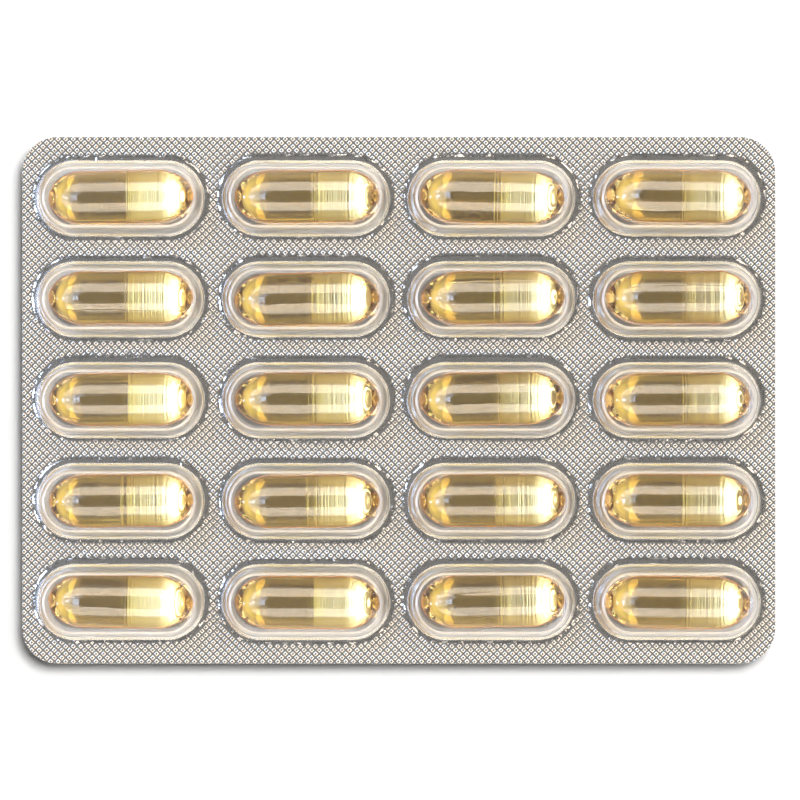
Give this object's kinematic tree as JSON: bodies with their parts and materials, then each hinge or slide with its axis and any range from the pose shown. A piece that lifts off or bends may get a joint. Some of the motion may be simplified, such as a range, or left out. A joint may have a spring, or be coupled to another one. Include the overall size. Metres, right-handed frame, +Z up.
{
  "type": "pill blister pack",
  "caption": "Flat card of clear thermoformed pockets over a sealed foil, holding oblong soft capsules in rows.",
  "frame": {"origin": "centre of the foil's underside, the flat face the pack lies on", "axes": "+Z up through the pockets, +X along the card's long side, which is the length of the capsules, +Y along its short side"},
  "size_m": [0.128, 0.0894, 0.0097],
  "materials": {
    "clear_film": "clear rigid thermoformed plastic film, glossy on both sides",
    "lidding_foil": "hard aluminium foil with a fine pressed diamond seal pattern on the lands and smooth rims round the pockets",
    "softgel": "glossy see-through golden gelatin shell filled with clear oil"
  },
  "bodies": {
    "root": {"forming_film": "clear_film", "lidding_foil": "lidding_foil", "capsule_row1_col1": "softgel", "capsule_row1_col2": "softgel", "capsule_row1_col3": "softgel", "capsule_row1_col4": "softgel", "capsule_row2_col1": "softgel", "capsule_row2_col2": "softgel", "capsule_row2_col3": "softgel", "capsule_row2_col4": "softgel", "capsule_row3_col1": "softgel", "capsule_row3_col2": "softgel", "capsule_row3_col3": "softgel", "capsule_row3_col4": "softgel", "capsule_row4_col1": "softgel", "capsule_row4_col2": "softgel", "capsule_row4_col3": "softgel", "capsule_row4_col4": "softgel", "capsule_row5_col1": "softgel", "capsule_row5_col2": "softgel", "capsule_row5_col3": "softgel", "capsule_row5_col4": "softgel"}
  },
  "joints": []
}
